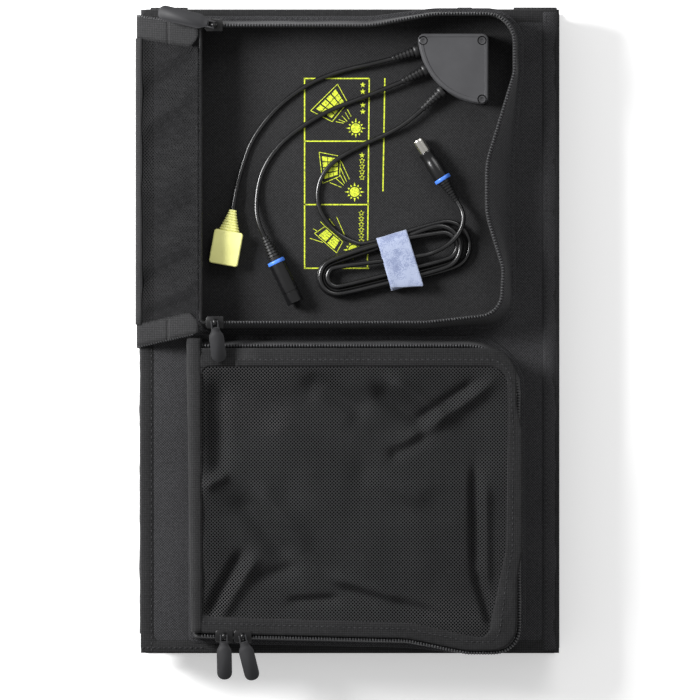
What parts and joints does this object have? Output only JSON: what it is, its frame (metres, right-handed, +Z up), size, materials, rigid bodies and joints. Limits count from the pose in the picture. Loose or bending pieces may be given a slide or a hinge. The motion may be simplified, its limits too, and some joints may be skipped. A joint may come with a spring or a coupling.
{
  "type": "folding solar blanket",
  "caption": "Solar blanket folded flat into a pack, with a zipped mesh pocket closed, another open, a junction box and leads with a USB block and round connectors.",
  "frame": {"origin": "middle of the folded pack's underside, at the height that its hems stand on", "axes": "+X to the pack's spine side, +Y to the upper pocket, +Z up out of the pockets"},
  "size_m": [0.2854, 0.4511, 0.0669],
  "materials": {
    "cloth": "matt plain-woven polyester, dark grey",
    "board": "foamed board",
    "laminate": "laminated sheet, semi-gloss",
    "cells": "dark blue silicon under clear film",
    "mesh": "knitted net, matt",
    "zip": "moulded coil",
    "slider": "black, semi-gloss",
    "puller": "soft moulded rubber, matt",
    "case": "moulded, fine satin",
    "screw": "zinc plated",
    "circuit": "lacquered board",
    "relief": "moulded, satin",
    "lead": "smooth jacket, semi-gloss",
    "tie": "hook-and-loop tape, pale blue",
    "usb": "moulded, bright yellow",
    "port": "stamped shell",
    "ring": "moulded, blue",
    "plug": "moulded, black",
    "barrel": "nickel plated",
    "webbing": "narrow woven webbing"
  },
  "bodies": {
    "panel_4": {"cover_4": "cloth", "board_4": "board", "laminate_4": "laminate", "cells_4": "cells", "feet": "cloth", "spine_3_4": "cloth"},
    "panel_3": {"cover_3": "cloth", "board_3": "board", "laminate_3": "laminate", "cells_3": "cells", "spine_2_3": "cloth"},
    "panel_2": {"cover_2": "cloth", "board_2": "board", "laminate_2": "laminate", "cells_2": "cells", "spine_1_2": "cloth"},
    "panel_1": {"cover_1": "cloth", "board_1": "board", "laminate_1": "laminate", "cells_1": "cells", "gusset_upper": "cloth", "gusset_lower": "cloth", "pocket_corner": "cloth", "zip_upper": "zip", "zip_lower": "zip", "box_base": "case", "box_lid": "case", "box_screws": "screw", "box_circuit": "circuit", "box_glands": "relief", "usb_relief": "usb", "socket_relief": "relief", "plug_relief": "relief", "lead_a": "lead", "lead_b": "lead", "lead_c_feed": "lead", "lead_c_tail": "lead", "lead_c_coil": "lead", "tie": "tie", "usb_body": "usb", "usb_port": "port", "socket_ring": "ring", "plug_ring": "ring", "socket_body": "plug", "plug_body": "plug", "plug_barrel": "barrel", "webbing_tabs": "webbing"},
    "flap_upper": {"flap_upper": "mesh"},
    "flap_fall": {"flap_fall": "mesh"},
    "flap_tail": {"flap_tail": "mesh", "flap_tail_end": "mesh"},
    "flap_lower": {"flap_lower": "mesh"},
    "slider_up_top": {"slider_up_top": "slider"},
    "puller_up_top": {"puller_up_top": "puller"},
    "slider_up_low": {"slider_up_low": "slider"},
    "puller_up_low": {"puller_up_low": "puller"},
    "slider_low_left": {"slider_low_left": "slider"},
    "puller_low_left": {"puller_low_left": "puller"},
    "slider_low_right": {"slider_low_right": "slider"},
    "puller_low_right": {"puller_low_right": "puller"}
  },
  "joints": [
    {"name": "fold_3_4", "type": "hinge", "parent": "panel_4", "child": "panel_3", "pos_m": [0.1407, 0, 0.0102], "axis": [0, 1, 0], "range_deg": [0, 180], "deforming": ["spine_3_4"]},
    {"name": "fold_2_3", "type": "hinge", "parent": "panel_3", "child": "panel_2", "pos_m": [-0.1407, 0, 0.0186], "axis": [0, -1, 0], "range_deg": [0, 180], "deforming": ["spine_2_3"]},
    {"name": "fold_1_2", "type": "hinge", "parent": "panel_2", "child": "panel_1", "pos_m": [0.1407, 0, 0.027], "axis": [0, 1, 0], "range_deg": [0, 180], "deforming": ["spine_1_2"]},
    {"name": "flap_upper_hinge", "type": "hinge", "parent": "panel_1", "child": "flap_upper", "pos_m": [-0.1004, 0, 0.0629], "axis": [0, 1, 0], "range_deg": [0, 210.57], "deforming": ["flap_fall", "flap_tail"]},
    {"name": "flap_fall_bend", "type": "hinge", "parent": "flap_upper", "child": "flap_fall", "pos_m": [-0.1434, 0, 0.0375], "axis": [0, 1, 0], "range_deg": [0, 60]},
    {"name": "flap_tail_bend", "type": "hinge", "parent": "flap_fall", "child": "flap_tail", "pos_m": [-0.1434, 0, 0.001], "axis": [0, 1, 0], "range_deg": [0, 91]},
    {"name": "flap_lower_hinge", "type": "hinge", "parent": "panel_1", "child": "flap_lower", "pos_m": [-0.1026, 0, 0.0559], "axis": [0, -1, 0], "range_deg": [0, 135]},
    {"name": "up_top_slide", "type": "slide", "parent": "panel_1", "child": "slider_up_top", "axis": [1, 0, 0], "range_m": [0, 0.085]},
    {"name": "up_top_puller", "type": "hinge", "parent": "slider_up_top", "child": "puller_up_top", "pos_m": [-0.0906, 0.2035, 0.0655], "axis": [0.2419, 0.9703, 0], "range_deg": [0, 100]},
    {"name": "up_low_slide", "type": "slide", "parent": "panel_1", "child": "slider_up_low", "axis": [1, 0, 0], "range_m": [0, 0.12]},
    {"name": "up_low_puller", "type": "hinge", "parent": "slider_up_low", "child": "puller_up_low", "pos_m": [-0.09, 0.0058, 0.0655], "axis": [-0.9925, -0.1219, 0], "range_deg": [0, 100]},
    {"name": "low_left_slide", "type": "slide", "parent": "panel_1", "child": "slider_low_left", "axis": [-0.9997, 0.0248, 0], "range_m": [0, 0.009]},
    {"name": "low_left_puller", "type": "hinge", "parent": "slider_low_left", "child": "puller_low_left", "pos_m": [-0.084, -0.2033, 0.0585], "axis": [-0.9998, -0.0175, 0], "range_deg": [0, 100]},
    {"name": "low_right_slide", "type": "slide", "parent": "panel_1", "child": "slider_low_right", "axis": [0.9997, -0.0248, 0], "range_m": [0, 0.085]},
    {"name": "low_right_puller", "type": "hinge", "parent": "slider_low_right", "child": "puller_low_right", "pos_m": [-0.0716, -0.2036, 0.0585], "axis": [-0.9703, -0.2419, 0], "range_deg": [0, 100]}
  ],
  "couplings": [
    {"joint": "flap_fall_bend", "follows": "flap_upper_hinge", "ratio": 0.28223},
    {"joint": "flap_tail_bend", "follows": "flap_upper_hinge", "ratio": 0.42741}
  ]
}
